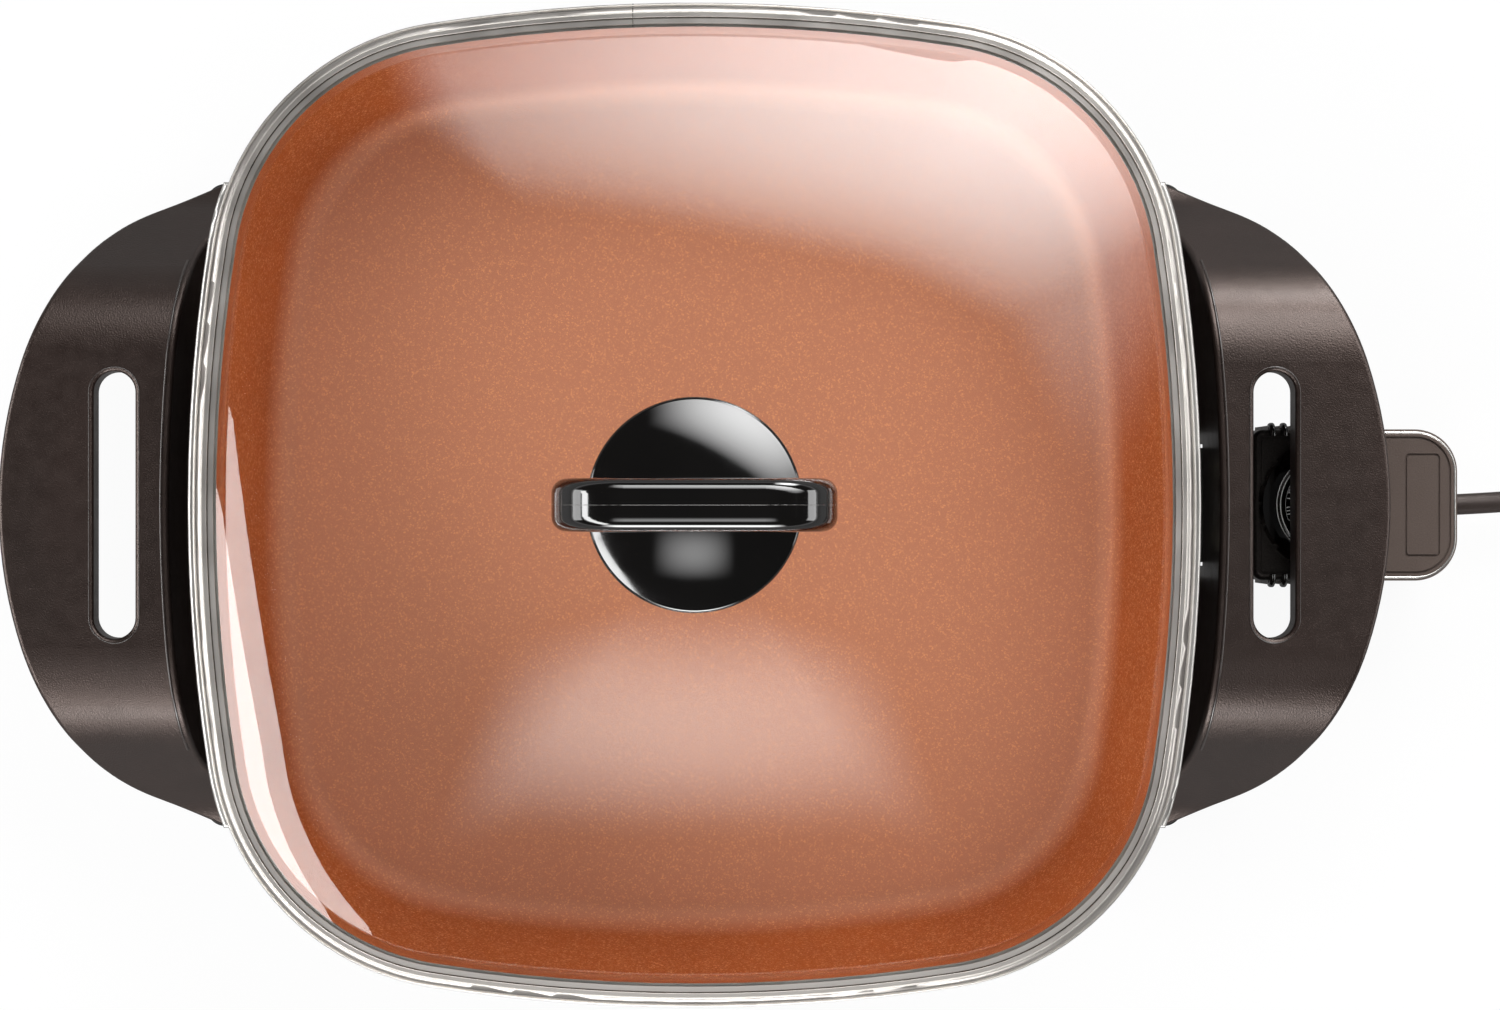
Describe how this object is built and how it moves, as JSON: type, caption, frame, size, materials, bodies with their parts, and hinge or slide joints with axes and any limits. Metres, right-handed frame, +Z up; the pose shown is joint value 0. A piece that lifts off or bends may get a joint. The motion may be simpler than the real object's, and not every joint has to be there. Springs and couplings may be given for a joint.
{
  "type": "electric skillet",
  "caption": "Square electric skillet with a domed glass lid, arched side handles that form its feet, and a plug-in temperature control with a dial, probe and mains cord.",
  "frame": {"origin": "on the table, under the middle of the skillet's length with its control plugged in", "axes": "+X from the left handle to the control, +Y to the back, +Z up"},
  "size_m": [0.6264, 0.3183, 0.1678],
  "materials": {
    "pan_coating": "copper-coloured ceramic non-stick on die-cast aluminium",
    "cast_aluminium": "bare casting",
    "element_steel": "heat-darkened tube",
    "plated_brass": "nickel plated",
    "ceramic": "unglazed ceramic",
    "sheet_steel": "stamped sheet",
    "handle_plastic": "satin, finely grained phenolic",
    "screw_steel": "zinc plated",
    "foot_rubber": "matt",
    "rim_steel": "bright stainless",
    "lid_glass": "clear tempered glass",
    "gloss_black": "polished",
    "silicone": "matt silicone",
    "probe_plastic": "satin",
    "nose_plastic": "moulded phenolic",
    "cord_jacket": "satin PVC"
  },
  "bodies": {
    "base": {"pan": "pan_coating", "heater_plate": "cast_aluminium", "heating_element": "element_steel", "terminal_pins": "plated_brass", "terminal_insulators": "ceramic", "terminal_guard": "sheet_steel", "guard_rivets": "cast_aluminium", "right_handle": "handle_plastic", "left_handle": "handle_plastic", "handle_screws": "screw_steel", "handle_washers": "screw_steel", "foot_pads": "foot_rubber"},
    "lid": {"lid_rim": "rim_steel", "lid_glass": "lid_glass", "lid_handle": "gloss_black", "lid_outer_gasket": "silicone", "lid_inner_gasket": "silicone", "lid_screw_washer": "screw_steel", "lid_handle_screw": "screw_steel"},
    "probe": {"probe_top_cover": "probe_plastic", "probe_bottom_cover": "probe_plastic", "probe_nose": "nose_plastic", "probe_rod": "element_steel", "probe_cover_screws": "screw_steel", "socket_contacts": "plated_brass", "thermostat_frame": "sheet_steel", "spindle_bush": "plated_brass", "contact_block": "nose_plastic", "fixed_contact_blade": "plated_brass", "moving_contact_blade": "plated_brass", "lead_wires": "cord_jacket", "cord_inner_end": "cord_jacket", "cord_bushing": "foot_rubber", "cord_clamp": "nose_plastic", "cord_run": "cord_jacket", "cord_coil": "cord_jacket", "cord_tail": "cord_jacket", "cord_tie": "nose_plastic", "plug_body": "cord_jacket", "plug_blades": "plated_brass"},
    "dial": {"dial": "gloss_black", "dial_spindle": "screw_steel"}
  },
  "joints": [
    {"name": "lid_lift", "type": "slide", "parent": "base", "child": "lid", "axis": [0, 0, 1], "range_m": [0, 0.2]},
    {"name": "probe_pull", "type": "slide", "parent": "base", "child": "probe", "axis": [1, 0, 0], "range_m": [0, 0.12]},
    {"name": "dial_turn", "type": "hinge", "parent": "probe", "child": "dial", "pos_m": [0.1936, 0, 0.042], "axis": [0, 0, 1], "range_deg": [0, 280]}
  ]
}
